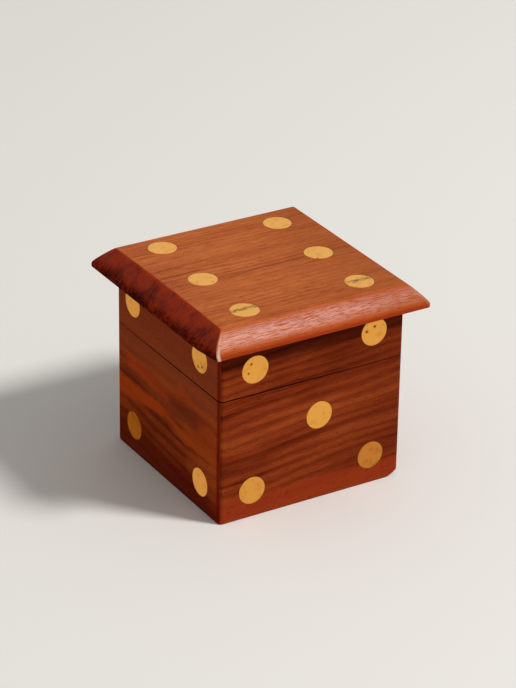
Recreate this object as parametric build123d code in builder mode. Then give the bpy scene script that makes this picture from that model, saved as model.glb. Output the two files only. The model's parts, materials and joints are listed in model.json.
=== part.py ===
"""A small wooden dice box made like a giant die.

Four mitred boards stand on the table and hold a floor panel between them. They are sawn apart
into a base and a lid, and a thick board with bevelled edges closes the lid and overhangs it on
every side. Twenty-one round brass spots are let in flush with the six faces, so that opposite
faces add up to seven. Two brass butt hinges, let into the saw cut at the back, carry the lid.

Frame, in millimetres: +Z up, the box stands on Z = 0, the face with five spots looks along -Y,
the hinges are at +Y, and the origin is on the table under the middle of the body.
"""

import os
from math import acos, atan2, degrees, hypot

from build123d import *

# --- Body --------------------------------------------------------------------------------------
body_width = 64.0  # X, over the boards
body_depth = 64.0  # Y, over the boards
board_thickness = 7.0
base_height = 41.3  # from the table to the saw cut
skirt_height = 17.0  # the lid's boards, from the saw cut to the top board
corner_radius = 1.5  # the four upright corners
foot_radius = 0.8  # the lower outer edges of the base
rim_radius = 0.3  # the outer edges along the saw cut
floor_thickness = 6.0
floor_inset = 0.3  # the floor's underside stands this far above the table

# --- Top board ---------------------------------------------------------------------------------
top_thickness = 7.3
overhang = 5.5  # past the boards, on every side
bevel_run = 5.5  # width of the bevel seen from above
nose_height = 1.4  # upright edge left under the bevel
nose_radius = 0.6  # lower edge of the nose
nose_shoulder_radius = 1.2  # where the bevel turns down into the nose
bevel_shoulder_radius = 3.0  # where the flat turns down into the bevel
nose_corner_radius = 1.2  # the four corners of the nose, in plan
flat_corner_radius = 1.6  # the four corners of the flat, in plan, where the mitred ridges end

# --- Brass spots -------------------------------------------------------------------------------
spot_radius = 4.5
spot_thickness = 1.6
spot_edge = 0.12  # bevel round the face of a spot
spot_glue = 0.08  # glue line round a spot
side_column_inset = 11.6  # from a side face's upright edges in to its outer columns of spots
side_low_row = 9.3  # from the table up to the lowest spots
side_high_row = 8.8  # from the top board down to the highest spots
top_column_inset = 11.9  # from the flat's left and right edges in to its two columns
top_row_inset = 7.7  # from the flat's front and back edges in to its outer rows

# The spots were drilled by eye: how far each stands off its place, across and up its face.
drill_drift = {
    "front_1": (0.3, 0.0),
    "front_2": (-0.2, -0.3),
    "front_3": (2.6, -0.7),
    "front_4": (1.1, 0.3),
    "front_5": (0.9, 2.2),
    "left_1": (-0.7, 1.8),
    "left_4": (-0.7, 1.1),
    "top_1": (0.7, 0.6),
    "top_2": (0.4, -0.3),
    "top_3": (0.6, 0.0),
    "top_4": (0.8, -0.7),
    "top_5": (0.4, -1.1),
    "top_6": (0.3, 0.0),
}

# --- Hinges ------------------------------------------------------------------------------------
hinge_inset = 15.0  # from each end of the back in to the middle of its hinge
hinge_length = 16.0
leaf_width = 5.4  # from the back of the box inwards
leaf_thickness = 0.8
leaf_clearance = 0.1  # round a leaf in its recess
leaf_set_in = 0.05  # a leaf lies this far under the rim
knuckle_radius = 1.4
knuckle_count = 5
knuckle_gap = 0.12  # from one knuckle to the next
barrel_clearance = 0.1  # from the barrel to the back of the box
pin_radius = 0.6
pin_clearance = 0.05  # round the pin, and from the barrel's ends to the pin's heads
pin_head_radius = 0.95
pin_head_thickness = 0.35
pin_head_rounding = 0.2

# --- Hinge screws ------------------------------------------------------------------------------
screw_offset = 4.6  # from the middle of a leaf to each screw
screw_inset = 2.9  # from the back of the box to the screws
screw_shank_radius = 0.75
screw_head_radius = 1.4
screw_length = 6.0
screw_point_length = 1.4
screw_slot_width = 0.35
screw_slot_depth = 0.3
screw_slot_turn = 30.0  # degrees from square to the wall
screw_clearance = 0.05

# --- Places that follow from the sizes ---------------------------------------------------------
half_width = body_width / 2
half_depth = body_depth / 2
skirt_top = base_height + skirt_height
lid_top = skirt_top + top_thickness
floor_top = floor_inset + floor_thickness
barrel_offset = barrel_clearance + knuckle_radius
hinge_y = half_depth + barrel_offset
screw_y = half_depth - screw_inset
knuckle_pitch = hinge_length / knuckle_count
hinge_middles = {"left": hinge_inset - half_width, "right": half_width - hinge_inset}

# Each face's plane looks out of the box, with its Y up the face (towards the back on the top).
face_planes = {
    "top": Plane(origin=(0, 0, lid_top), x_dir=(1, 0, 0), z_dir=(0, 0, 1)),
    "front": Plane(origin=(0, -half_depth, 0), x_dir=(1, 0, 0), z_dir=(0, -1, 0)),
    "right": Plane(origin=(half_width, 0, 0), x_dir=(0, 1, 0), z_dir=(1, 0, 0)),
    "back": Plane(origin=(0, half_depth, 0), x_dir=(-1, 0, 0), z_dir=(0, 1, 0)),
    "left": Plane(origin=(-half_width, 0, 0), x_dir=(0, -1, 0), z_dir=(-1, 0, 0)),
    "bottom": Plane(origin=(0, 0, floor_inset), x_dir=(1, 0, 0), z_dir=(0, 0, -1)),
}
sides = ("front", "right", "back", "left")


def spot_layout():
    """Returns each face's spots as a dict of name to centre on that face's plane."""
    low = side_low_row
    high = skirt_top - side_high_row
    middle = skirt_top / 2
    wide = half_width - side_column_inset
    deep = half_depth - side_column_inset
    top_wide = half_width + overhang - bevel_run - top_column_inset
    top_deep = half_depth + overhang - bevel_run - top_row_inset
    places = {
        "top": [(x, y) for x in (-top_wide, top_wide) for y in (top_deep, 0, -top_deep)],
        "front": [(-wide, high), (-wide, low), (0, middle), (wide, low), (wide, high)],
        "right": [(-deep, high), (0, middle), (deep, low)],
        "back": [(-wide, low), (wide, high)],
        "left": [(-deep, high), (-deep, low), (deep, low), (deep, high)],
        "bottom": [(0, 0)],
    }
    layout = {}
    for face, centres in places.items():
        layout[face] = {}
        for number, (across, up) in enumerate(centres, start=1):
            name = f"{face}_{number}"
            drift_across, drift_up = drill_drift.get(name, (0, 0))
            layout[face][name] = (across + drift_across, up + drift_up)
    return layout


spot_centres = spot_layout()


def body_corners(inset):
    """Returns the body's corners in plan, moved in by inset, anticlockwise from the front left."""
    x, y = half_width - inset, half_depth - inset
    return [(-x, -y), (x, -y), (x, y), (-x, y)]


def outer_edges(edges):
    """Returns those of a board's edges that lie on the body's faces or on its rounded corners."""
    return [
        edge
        for edge in edges
        if abs(edge.center().X) > half_width - corner_radius
        or abs(edge.center().Y) > half_depth - corner_radius
    ]


def hinge_seat(middle, up):
    """Returns the plane of a leaf's face at its screws, looking out of the wood.

    up is 1 for the lid's leaf and -1 for the base's.
    """
    origin = (middle, screw_y, base_height + up * leaf_set_in)
    return Plane(origin=origin, x_dir=(1, 0, 0), z_dir=(0, 0, -up))


# --- Boards ------------------------------------------------------------------------------------
def mitred_board(side, bottom, top, up):
    """Makes one upright board, mitred at both ends, with its rim on the saw cut.

    up is 1 for a lid board, whose rim is its lower end, and -1 for a base board.
    """
    start = sides.index(side)
    end = (start + 1) % len(sides)
    outer, inner = body_corners(0), body_corners(board_thickness)
    with BuildPart() as board:
        with BuildSketch(Plane.XY.offset(bottom)):
            with BuildLine():
                Polyline(outer[start], outer[end], inner[end], inner[start], close=True)
            make_face()
            RectangleRounded(body_width, body_depth, corner_radius, mode=Mode.INTERSECT)
        extrude(amount=top - bottom)
        rim_edges = board.edges().group_by(Axis.Z)[0 if up > 0 else -1]
        fillet(outer_edges(rim_edges), radius=rim_radius)
        if up < 0:
            foot_edges = board.edges().group_by(Axis.Z)[0]
            fillet(outer_edges(foot_edges), radius=foot_radius)

        with BuildSketch(face_planes[side]):
            with Locations(*spot_centres[side].values()):
                Circle(spot_radius + spot_glue)
        extrude(amount=-spot_thickness, mode=Mode.SUBTRACT)

        if side == "back":
            recess_width = leaf_width + leaf_clearance
            with BuildSketch(Plane.XY.offset(base_height)):
                with Locations(*[(x, half_depth - recess_width / 2) for x in hinge_middles.values()]):
                    Rectangle(hinge_length + 2 * leaf_clearance, recess_width)
            extrude(amount=up * (leaf_thickness + leaf_set_in), mode=Mode.SUBTRACT)
            for middle in hinge_middles.values():
                with Locations(hinge_seat(middle, up)):
                    with Locations((-screw_offset, 0), (screw_offset, 0)):
                        Hole(screw_shank_radius + screw_clearance, screw_length + screw_clearance)
    return board


def floor_panel():
    """Makes the panel between the base's boards."""
    with BuildPart() as panel:
        with BuildSketch(Plane.XY.offset(floor_inset)):
            Rectangle(body_width - 2 * board_thickness, body_depth - 2 * board_thickness)
        extrude(amount=floor_thickness)
        with BuildSketch(face_planes["bottom"]):
            with Locations(*spot_centres["bottom"].values()):
                Circle(spot_radius + spot_glue)
        extrude(amount=-spot_thickness, mode=Mode.SUBTRACT)
    return panel


def bevelled_top():
    """Makes the overhanging top board."""
    width = body_width + 2 * overhang
    depth = body_depth + 2 * overhang
    nose_top = skirt_top + nose_height
    with BuildPart() as board:
        with BuildSketch(Plane.XY.offset(skirt_top)):
            RectangleRounded(width, depth, nose_corner_radius)
        extrude(amount=nose_height)
        with BuildSketch(Plane.XY.offset(nose_top)):
            RectangleRounded(width, depth, nose_corner_radius)
        with BuildSketch(Plane.XY.offset(lid_top)):
            RectangleRounded(width - 2 * bevel_run, depth - 2 * bevel_run, flat_corner_radius)
        loft(ruled=True)
        fillet(board.faces().sort_by(Axis.Z)[-1].edges(), radius=bevel_shoulder_radius)
        nose_line = board.edges().filter_by_position(Axis.Z, nose_top, nose_top)
        fillet(nose_line, radius=nose_shoulder_radius)
        fillet(board.faces().sort_by(Axis.Z)[0].edges(), radius=nose_radius)
        with BuildSketch(face_planes["top"]):
            with Locations(*spot_centres["top"].values()):
                Circle(spot_radius + spot_glue)
        extrude(amount=-spot_thickness, mode=Mode.SUBTRACT)
    return board


# --- Brass spots -------------------------------------------------------------------------------
def brass_spot(face, centre):
    """Makes one disc, flush with its face and lightly bevelled round it."""
    with BuildPart() as spot:
        with BuildSketch(face_planes[face]):
            with Locations(centre):
                Circle(spot_radius)
        extrude(amount=-spot_thickness)
        outward = Axis(face_planes[face].origin, face_planes[face].z_dir)
        chamfer(spot.faces().sort_by(outward)[-1].edges(), length=spot_edge)
    return spot


# --- Hinges ------------------------------------------------------------------------------------
def hinge_leaf(middle, up, first_knuckle):
    """Makes one leaf: a plate, every second knuckle from the first one given, and screw holes.

    up is 1 for the lid's leaf and -1 for the base's.
    """
    knuckle_length = knuckle_pitch - knuckle_gap
    barrel_start = middle - hinge_length / 2
    places = [
        barrel_start + (number + 0.5) * knuckle_pitch
        for number in range(first_knuckle, knuckle_count, 2)
    ]
    with BuildPart() as leaf:
        with BuildSketch(Plane.XY.offset(base_height + up * leaf_set_in)):
            with Locations((middle, half_depth - leaf_width / 2)):
                Rectangle(hinge_length, leaf_width)
            with Locations(*[(x, half_depth + barrel_offset / 2) for x in places]):
                Rectangle(knuckle_length, barrel_offset)
        extrude(amount=up * leaf_thickness)
        for x in places:
            with BuildSketch(Plane.YZ.offset(x - knuckle_length / 2)):
                with Locations((hinge_y, base_height)):
                    Circle(knuckle_radius)
            extrude(amount=knuckle_length)
        with BuildSketch(Plane.YZ.offset(barrel_start)):
            with Locations((hinge_y, base_height)):
                Circle(pin_radius + pin_clearance)
        extrude(amount=hinge_length, mode=Mode.SUBTRACT)
        with Locations(hinge_seat(middle, up)):
            with Locations((-screw_offset, 0), (screw_offset, 0)):
                CounterSinkHole(
                    screw_shank_radius + screw_clearance,
                    screw_head_radius + screw_clearance,
                    depth=leaf_thickness,
                    counter_sink_angle=90,
                )
    return leaf


def hinge_pin(middle):
    """Makes a pin through the whole barrel, with a flat rounded head at both ends."""
    reach = hinge_length / 2 + pin_clearance
    with BuildPart() as pin:
        with BuildSketch(Plane.YZ.offset(middle - reach)):
            with Locations((hinge_y, base_height)):
                Circle(pin_radius)
        extrude(amount=2 * reach)
        for end in (-1, 1):
            with BuildSketch(Plane.YZ.offset(middle + end * reach)):
                with Locations((hinge_y, base_height)):
                    Circle(pin_head_radius)
            extrude(amount=end * pin_head_thickness)
        ends = pin.faces().sort_by(Axis.X)
        fillet(ends[0].edges() + ends[-1].edges(), radius=pin_head_rounding)
    return pin


def leaf_screws(middle, up):
    """Makes the two countersunk screws of one leaf, with plain pointed shanks and slotted heads."""
    head_depth = screw_head_radius - screw_shank_radius
    with BuildPart() as screws:
        for across in (-screw_offset, screw_offset):
            seat = hinge_seat(middle + across, up)
            profile_plane = Plane(origin=seat.origin, x_dir=(1, 0, 0), z_dir=(0, up, 0))
            with BuildSketch(profile_plane):
                with BuildLine():
                    Polyline(
                        (0, 0),
                        (screw_head_radius, 0),
                        (screw_shank_radius, -head_depth),
                        (screw_shank_radius, screw_point_length - screw_length),
                        (0, -screw_length),
                        close=True,
                    )
                make_face()
            revolve(axis=Axis(seat.origin, seat.z_dir))
            with BuildSketch(seat):
                turn = screw_slot_turn if across > 0 else -screw_slot_turn
                Rectangle(screw_slot_width, 2 * screw_head_radius, rotation=turn)
            extrude(amount=-screw_slot_depth, mode=Mode.SUBTRACT)
    return screws


# --- The pieces --------------------------------------------------------------------------------
pieces = {"base_floor": floor_panel(), "lid_top_board": bevelled_top()}
for side in sides:
    pieces[f"base_{side}_board"] = mitred_board(side, 0, base_height, up=-1)
    pieces[f"lid_{side}_board"] = mitred_board(side, base_height, skirt_top, up=1)
for face, centres in spot_centres.items():
    for name, centre in centres.items():
        pieces[f"spot_{name}"] = brass_spot(face, centre)
for hand, middle in hinge_middles.items():
    pieces[f"{hand}_hinge_base_leaf"] = hinge_leaf(middle, up=-1, first_knuckle=0)
    pieces[f"{hand}_hinge_lid_leaf"] = hinge_leaf(middle, up=1, first_knuckle=1)
    pieces[f"{hand}_hinge_pin"] = hinge_pin(middle)
    pieces[f"{hand}_hinge_base_screws"] = leaf_screws(middle, up=-1)
    pieces[f"{hand}_hinge_lid_screws"] = leaf_screws(middle, up=1)

os.makedirs("parts", exist_ok=True)
for name, piece in pieces.items():
    piece.part.label = name
    export_step(piece.part, f"parts/{name}.step")

# The open lid stops where the overhang's lower edge meets the back of the base.
edge_reach = overhang - barrel_offset
edge_distance = hypot(edge_reach, skirt_height)
open_limit = degrees(atan2(skirt_height, edge_reach) + acos(-barrel_offset / edge_distance))
print(f"{len(pieces)} pieces; hinge axis along X through y {hinge_y:.2f}, z {base_height:.2f}")
print(f"the lid opens up to {open_limit:.1f} degrees; floor top z {floor_top:.2f}")
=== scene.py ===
"""Dresses a small dice box shaped like a die: sheesham boards, brass spots and brass hinges.

Lengths are in metres, apart from those of the finishes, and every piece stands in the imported
frame. The main planes of the box are read from that frame, and the fields of the classes below
hold only what is finer than it: how edges are eased, how the brass is filed, and how each board
is figured.
"""

import json
import logging
import math
from collections.abc import Callable, Iterable, Sequence
from dataclasses import dataclass
from enum import Enum
from typing import TypeAlias

import bmesh
import bpy
from mathutils import Euler, Matrix, Vector


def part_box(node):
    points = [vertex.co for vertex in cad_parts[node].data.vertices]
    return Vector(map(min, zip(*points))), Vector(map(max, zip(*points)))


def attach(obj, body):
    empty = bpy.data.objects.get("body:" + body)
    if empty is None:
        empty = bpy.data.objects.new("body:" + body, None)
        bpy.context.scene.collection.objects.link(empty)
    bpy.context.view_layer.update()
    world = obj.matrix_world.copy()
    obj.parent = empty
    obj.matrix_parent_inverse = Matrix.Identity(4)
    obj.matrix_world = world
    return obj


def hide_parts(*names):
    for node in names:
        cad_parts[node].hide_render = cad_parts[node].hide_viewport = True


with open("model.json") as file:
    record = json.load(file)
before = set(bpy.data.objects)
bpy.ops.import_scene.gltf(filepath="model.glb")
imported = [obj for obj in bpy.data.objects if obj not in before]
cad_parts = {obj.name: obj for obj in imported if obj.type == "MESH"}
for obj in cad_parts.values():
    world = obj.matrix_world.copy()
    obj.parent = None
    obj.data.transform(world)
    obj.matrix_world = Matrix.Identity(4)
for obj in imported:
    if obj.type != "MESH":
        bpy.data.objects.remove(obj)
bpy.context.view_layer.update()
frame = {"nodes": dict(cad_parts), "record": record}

log = logging.getLogger("dice_box")

MM = 0.001
HAIR = MM / 1000  # Two cuts that are nearer to each other than this are one.
NEAR = MM / 100  # What is nearer to a plane than this lies on it.
ROUND = 96  # How many flats stand for a round.
KNOCK = 1.3 * MM  # How far the lid's front left corner is knocked in, at its nose.
KNOCK_HEIGHT = 4.6 * MM  # How far up the bevel the knock reaches.
UP = Vector((0, 0, 1))

Colour = tuple[float, float, float, float]
Sizes = tuple[float, float, float]
Fade = tuple[float, float]
Parts = tuple[tuple[str, float], ...]
Feed: TypeAlias = "float | Sequence[float] | Signal"
Feeds = dict[str | int, "Feed"]


def tint(red: int, green: int, blue: int) -> Colour:
    """Turns a colour as a paint card gives it, 0 to 255, into the linear one that shaders take.

    Args:
        red: The red share.
        green: The green share.
        blue: The blue share.

    Returns:
        The linear colour, opaque.
    """
    shares = (value / 255 for value in (red, green, blue))
    linear = (s / 12.92 if s <= 0.04045 else ((s + 0.055) / 1.055) ** 2.4 for s in shares)
    return (*linear, 1.0)


# --- The box's planes --------------------------------------------------------------------------
class Shell(Enum):
    """The two bodies that the hinges join."""

    BASE = "base"
    LID = "lid"


class Side(Enum):
    """The four upright sides, by the way each looks."""

    FRONT = (0, -1)
    RIGHT = (1, 0)
    BACK = (0, 1)
    LEFT = (-1, 0)

    @property
    def outward(self) -> Vector:
        """Gives the way that the side looks."""
        return Vector((*self.value, 0))

    @property
    def label(self) -> str:
        """Gives the side's name as the nodes spell it."""
        return self.name.lower()


@dataclass(frozen=True)
class Planes:
    """The main planes of the box, as the frame holds them."""

    half_width: float
    half_depth: float
    board: float
    seam: float
    skirt_top: float
    lid_top: float
    half_lid: float

    @classmethod
    def measured(cls) -> "Planes":
        """Reads the planes from the boards' boxes.

        Returns:
            The planes.
        """
        left_low, left_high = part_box("base_left_board")
        front_low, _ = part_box("base_front_board")
        top_low, top_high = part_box("lid_top_board")
        return cls(
            half_width=-left_low.x,
            half_depth=-front_low.y,
            board=left_high.x - left_low.x,
            seam=left_high.z,
            skirt_top=top_low.z,
            lid_top=top_high.z,
            half_lid=top_high.x,
        )


# --- Modelling ---------------------------------------------------------------------------------
def cut_corners(points: list[Vector], rounds: int) -> list[Vector]:
    """Rounds a run of straight lines by cutting its corners off again and again.

    Args:
        points: The run's corners, of which the first and last stay.
        rounds: How many times they are cut.

    Returns:
        The rounded run.
    """
    for _ in range(rounds):
        cut = [points[0]]
        for start, end in zip(points, points[1:]):
            cut += [start.lerp(end, 0.25), start.lerp(end, 0.75)]
        points = [*cut, points[-1]]
    return points


class Element(Enum):
    """What an edit-mode selection picks."""

    VERTS = "VERT"
    EDGES = "EDGE"
    FACES = "FACE"


def is_upright(edge: bmesh.types.BMEdge) -> bool:
    """Tells whether an edge runs up a blank."""
    return abs(edge.verts[0].co.z - edge.verts[1].co.z) > MM / 10


def lies_at(way: Vector, level: float) -> Callable[[bmesh.types.BMEdge], bool]:
    """Picks the edges that lie in a plane.

    Args:
        way: The way that the plane looks.
        level: How far along that way it is.

    Returns:
        A test of one edge.
    """
    return lambda edge: all(abs(v.co.dot(way) - level) < NEAR for v in edge.verts)


def facing(way: Vector) -> Euler:
    """Turns what looks up so that it looks another way."""
    return way.to_track_quat("Z", "Y").to_euler()


def clear_bench() -> None:
    """Leaves edit mode and deselects everything."""
    if bpy.context.object and bpy.context.object.mode != "OBJECT":
        bpy.ops.object.mode_set(mode="OBJECT")
    bpy.ops.object.select_all(action="DESELECT")


class Workpiece:
    """A piece on the bench: its object, and the ways to shape, place and dress it."""

    def __init__(self, made: bpy.types.Object, name: str) -> None:
        """Takes an object in hand and applies its place to its mesh.

        Args:
            made: The object.
            name: The piece's name.
        """
        self.made = made
        made.name = name
        made.data.name = name
        self.take()
        bpy.ops.object.transform_apply(location=True, rotation=True, scale=True)

    @classmethod
    def shaped(cls, name: str, shape: Callable[..., object], **how: object) -> "Workpiece":
        """Starts a piece from a basic shape.

        Args:
            name: The piece's name.
            shape: The operator that adds the shape.
            how: What the operator is told.

        Returns:
            The piece.
        """
        clear_bench()
        shape(**how)
        return cls(bpy.context.active_object, name)

    @classmethod
    def block(cls, name: str, low: Vector, high: Vector) -> "Workpiece":
        """Cuts a square block, from its lowest corner to its highest."""
        cube = bpy.ops.mesh.primitive_cube_add
        return cls.shaped(name, cube, size=1, location=(low + high) / 2, scale=high - low)

    @classmethod
    def rod(
        cls, name: str, centre: Vector, outward: Vector, radius: float, length: float
    ) -> "Workpiece":
        """Turns a round blank.

        Args:
            name: The piece's name.
            centre: The blank's middle.
            outward: The way that its end face looks.
            radius: Its radius.
            length: Its length along outward.

        Returns:
            The blank.
        """
        return cls.shaped(
            name,
            bpy.ops.mesh.primitive_cylinder_add,
            vertices=ROUND,
            radius=radius,
            depth=length,
            location=centre,
            rotation=facing(outward),
        )

    def take(self) -> None:
        """Makes this the one object that the next operator acts on."""
        clear_bench()
        self.made.select_set(True)
        bpy.context.view_layer.objects.active = self.made

    def copy(self, name: str) -> "Workpiece":
        """Makes a second piece with a mesh of its own.

        Args:
            name: The second piece's name.

        Returns:
            The second piece.
        """
        twin = self.made.copy()
        twin.data = self.made.data.copy()
        bpy.context.scene.collection.objects.link(twin)
        return Workpiece(twin, name)

    def discard(self) -> None:
        """Throws the piece away."""
        bpy.data.objects.remove(self.made)

    def select(self, kind: Element, wanted: Callable[..., bool]) -> None:
        """Opens the mesh with only some of its elements selected.

        Args:
            kind: Whether vertices, edges or faces are picked.
            wanted: Says of one element whether it is picked.
        """
        self.take()
        bpy.ops.object.mode_set(mode="EDIT")
        bpy.ops.mesh.select_mode(type=kind.value)
        bpy.ops.mesh.select_all(action="DESELECT")
        mesh = bmesh.from_edit_mesh(self.made.data)
        for element in getattr(mesh, kind.name.lower()):
            element.select_set(wanted(element))
        mesh.select_flush_mode()
        bmesh.update_edit_mesh(self.made.data)

    def round_edges(self, wanted: Callable[..., bool], width: float, steps: int) -> None:
        """Rounds some edges.

        Args:
            wanted: Says of one edge whether it is rounded.
            width: How far the rounding reaches from the edge.
            steps: How many flats stand for the round.
        """
        self.select(Element.EDGES, wanted)
        bpy.ops.mesh.bevel(offset=width, segments=steps, profile=0.5, affect="EDGES")
        clear_bench()

    def bisect(self, through: Vector, normal: Vector, **how: bool) -> None:
        """Cuts the whole mesh along a plane.

        Args:
            through: A point on the cut.
            normal: The way, square to the cut, that its plane looks.
            how: What else is done there, as the operator names it.
        """
        self.take()
        bpy.ops.object.mode_set(mode="EDIT")
        bpy.ops.mesh.select_all(action="SELECT")
        bpy.ops.mesh.bisect(plane_co=through, plane_no=normal, threshold=HAIR, **how)
        clear_bench()

    def saw(self, through: Vector, waste: Vector) -> None:
        """Saws the piece through, drops what lies on the side of the waste and closes the cut."""
        self.bisect(through, waste, use_fill=True, clear_outer=True)

    def bore(self, cutters: Iterable["Workpiece"]) -> None:
        """Takes the cutters' shapes out of the piece, and throws them away.

        Args:
            cutters: Pieces that stand where the wood or metal goes.
        """
        for cutter in cutters:
            cut = self.made.modifiers.new("cut", "BOOLEAN")
            cut.operation = "DIFFERENCE"
            cut.solver = "EXACT"
            cut.object = cutter.made
            self.take()
            bpy.ops.object.modifier_apply(modifier=cut.name)
            cutter.discard()

    def join(self, others: Iterable["Workpiece"]) -> None:
        """Takes other pieces' meshes into this one.

        Args:
            others: The pieces that become part of this one.
        """
        others = list(others)
        self.take()
        for other in others:
            other.made.select_set(True)
        bpy.ops.object.join()

    def smooth(self, sharp: float) -> None:
        """Shades the piece smooth, with its broad faces left flat.

        Args:
            sharp: The angle in degrees from which an edge stays sharp.
        """
        self.take()
        bpy.ops.object.shade_smooth_by_angle(angle=math.radians(sharp))
        weigh = self.made.modifiers.new("weigh", "WEIGHTED_NORMAL")
        weigh.keep_sharp = True
        bpy.ops.object.modifier_apply(modifier=weigh.name)

    def fit(self, material: bpy.types.Material, shell: Shell, slot: str, *nodes: str) -> None:
        """Dresses the piece and fits it to the box.

        Args:
            material: Its finish.
            shell: The body that it moves with.
            slot: Not used.
            nodes: The frame's nodes that it stands for.
        """
        self.made.data.materials.clear()
        self.made.data.materials.append(material)
        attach(self.made, shell.value)
        if nodes:
            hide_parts(*nodes)
        faces = len(self.made.data.polygons)
        log.info("%s: %d faces, on the %s", self.made.name, faces, shell.value)


# --- Shader graphs -----------------------------------------------------------------------------
class Signal:
    """A value, vector or colour in a shader graph. Arithmetic on it adds Math nodes."""

    def __init__(self, graph: "Graph", socket: bpy.types.NodeSocket) -> None:
        """Takes in hand one output of a node of the graph."""
        self.graph = graph
        self.socket = socket

    def math(self, operation: str, *others: Feed) -> "Signal":
        """Adds a Math node that takes this value first."""
        return self.graph.math(operation, self, *others)

    def __add__(self, other: Feed) -> "Signal":
        """Adds the other value."""
        return self.math("ADD", other)

    def __sub__(self, other: Feed) -> "Signal":
        """Takes the other value from this one."""
        return self.math("SUBTRACT", other)

    def __rsub__(self, other: Feed) -> "Signal":
        """Takes this value from the other one."""
        return self.graph.math("SUBTRACT", other, self)

    def __mul__(self, other: Feed) -> "Signal":
        """Multiplies by the other value."""
        return self.math("MULTIPLY", other)

    def __truediv__(self, other: Feed) -> "Signal":
        """Divides by the other value."""
        return self.math("DIVIDE", other)

    def __abs__(self) -> "Signal":
        """Drops the sign."""
        return self.math("ABSOLUTE")

    def ease(self, start: float, end: float) -> "Signal":
        """Rises smoothly from 0 at start to 1 at end, whichever is larger."""
        feeds = {"Value": self, "From Min": start, "From Max": end}
        return self.graph.result(
            "ShaderNodeMapRange", feeds, "Result", interpolation_type="SMOOTHSTEP"
        )

    def split(self) -> list["Signal"]:
        """Splits a vector into its three values."""
        return list(self.graph.signals("ShaderNodeSeparateXYZ", {0: self}).values())

    def stretched(self, sizes: Sizes) -> "Signal":
        """Divides a vector by the size of what it will show, along each axis."""
        return self.graph.result("ShaderNodeVectorMath", {0: self, 1: sizes}, operation="DIVIDE")


class Graph:
    """A node tree being wired, with short ways to add its nodes."""

    def __init__(self, tree: bpy.types.NodeTree) -> None:
        """Starts on an empty tree."""
        self.tree = tree
        tree.nodes.clear()

    def feed(self, socket: bpy.types.NodeSocket, value: Feed) -> None:
        """Links a socket, or sets it where the value is a plain one.

        Args:
            socket: The socket.
            value: What goes into it.
        """
        if isinstance(value, Signal):
            self.tree.links.new(value.socket, socket)
        else:
            socket.default_value = value

    def add(self, kind: str, feeds: Feeds | None = None, **settings: object) -> bpy.types.Node:
        """Adds a node.

        Args:
            kind: The node's type.
            feeds: What goes into its sockets, by their names or places.
            settings: The node's own properties.

        Returns:
            The node.
        """
        node = self.tree.nodes.new(kind)
        for name, value in settings.items():
            setattr(node, name, value)
        for place, value in (feeds or {}).items():
            self.feed(node.inputs[place], value)
        return node

    def signals(
        self, kind: str, feeds: Feeds | None = None, **settings: object
    ) -> dict[str, Signal]:
        """Adds a node, as add does, and gives its outputs by their names."""
        node = self.add(kind, feeds, **settings)
        return {output.name: Signal(self, output) for output in node.outputs}

    def result(
        self, kind: str, feeds: Feeds, output: str | int = 0, **settings: object
    ) -> Signal:
        """Adds a node, as add does, and gives the one output that is wanted."""
        return Signal(self, self.add(kind, feeds, **settings).outputs[output])

    def math(self, operation: str, *values: Feed) -> Signal:
        """Adds a Math node, fed with the values in order."""
        return self.result("ShaderNodeMath", dict(enumerate(values)), operation=operation)

    def larger(self, first: Feed, second: Feed) -> Signal:
        """Gives the larger of two values."""
        return self.math("MAXIMUM", first, second)

    def vector(self, x: Feed, y: Feed, z: Feed) -> Signal:
        """Joins three values into a vector."""
        return self.result("ShaderNodeCombineXYZ", {"X": x, "Y": y, "Z": z})

    def noise(
        self,
        place: Signal,
        sizes: Sizes | None = None,
        detail: float = 2.0,
        roughness: float = 0.5,
        output: str = "Fac",
    ) -> Signal:
        """Adds a Noise node.

        Args:
            place: Where the noise is read.
            sizes: How long its lumps are along each axis, where that isn't 1.
            detail: The node's detail.
            roughness: The node's roughness.
            output: Which of its outputs is wanted.

        Returns:
            The output.
        """
        where = place.stretched(sizes) if sizes else place
        feeds = {"Vector": where, "Scale": 1.0, "Detail": detail, "Roughness": roughness}
        return self.result("ShaderNodeTexNoise", feeds, output)

    def mix(self, share: Feed, first: Feed, second: Feed) -> Signal:
        """Mixes two colours. The Mix node tells its sockets for colours by their places alone."""
        feeds = {0: share, 6: first, 7: second}
        return self.result("ShaderNodeMix", feeds, 2, data_type="RGBA")

    def ramp(self, share: Signal, *stops: tuple[float, Colour]) -> Signal:
        """Colours a value by a ramp of stops, of which the first two are its ends.

        Args:
            share: The value, 0 to 1.
            stops: Each stop's place and colour.

        Returns:
            The colour.
        """
        node = self.add("ShaderNodeValToRGB", {0: share})
        elements = node.color_ramp.elements
        for element, (position, colour) in zip(elements, stops):
            element.position, element.color = position, colour
        for position, colour in stops[2:]:
            elements.new(position).color = colour
        return Signal(self, node.outputs[0])

    def group(self, effect: "Effect", **feeds: Feed) -> dict[str, Signal]:
        """Places a shared effect.

        Args:
            effect: The effect.
            feeds: What goes into its inputs, with spaces in their names as underscores.

        Returns:
            Its outputs by their names.
        """
        spaced = {name.replace("_", " "): value for name, value in feeds.items()}
        return self.signals("ShaderNodeGroup", spaced, node_tree=effect.tree())

    def bump(self, height: Signal, rise: float, strength: float) -> Signal:
        """Turns a height of 0 to 1, which stands for a rise in metres, into a normal."""
        feeds = {"Distance": rise, "Strength": strength, "Height": height}
        return self.result("ShaderNodeBump", feeds)

    def millimetres(self) -> Signal:
        """Gives the place on the box in millimetres."""
        return self.signals("ShaderNodeTexCoord")["Object"].stretched((MM, MM, MM))


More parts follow.
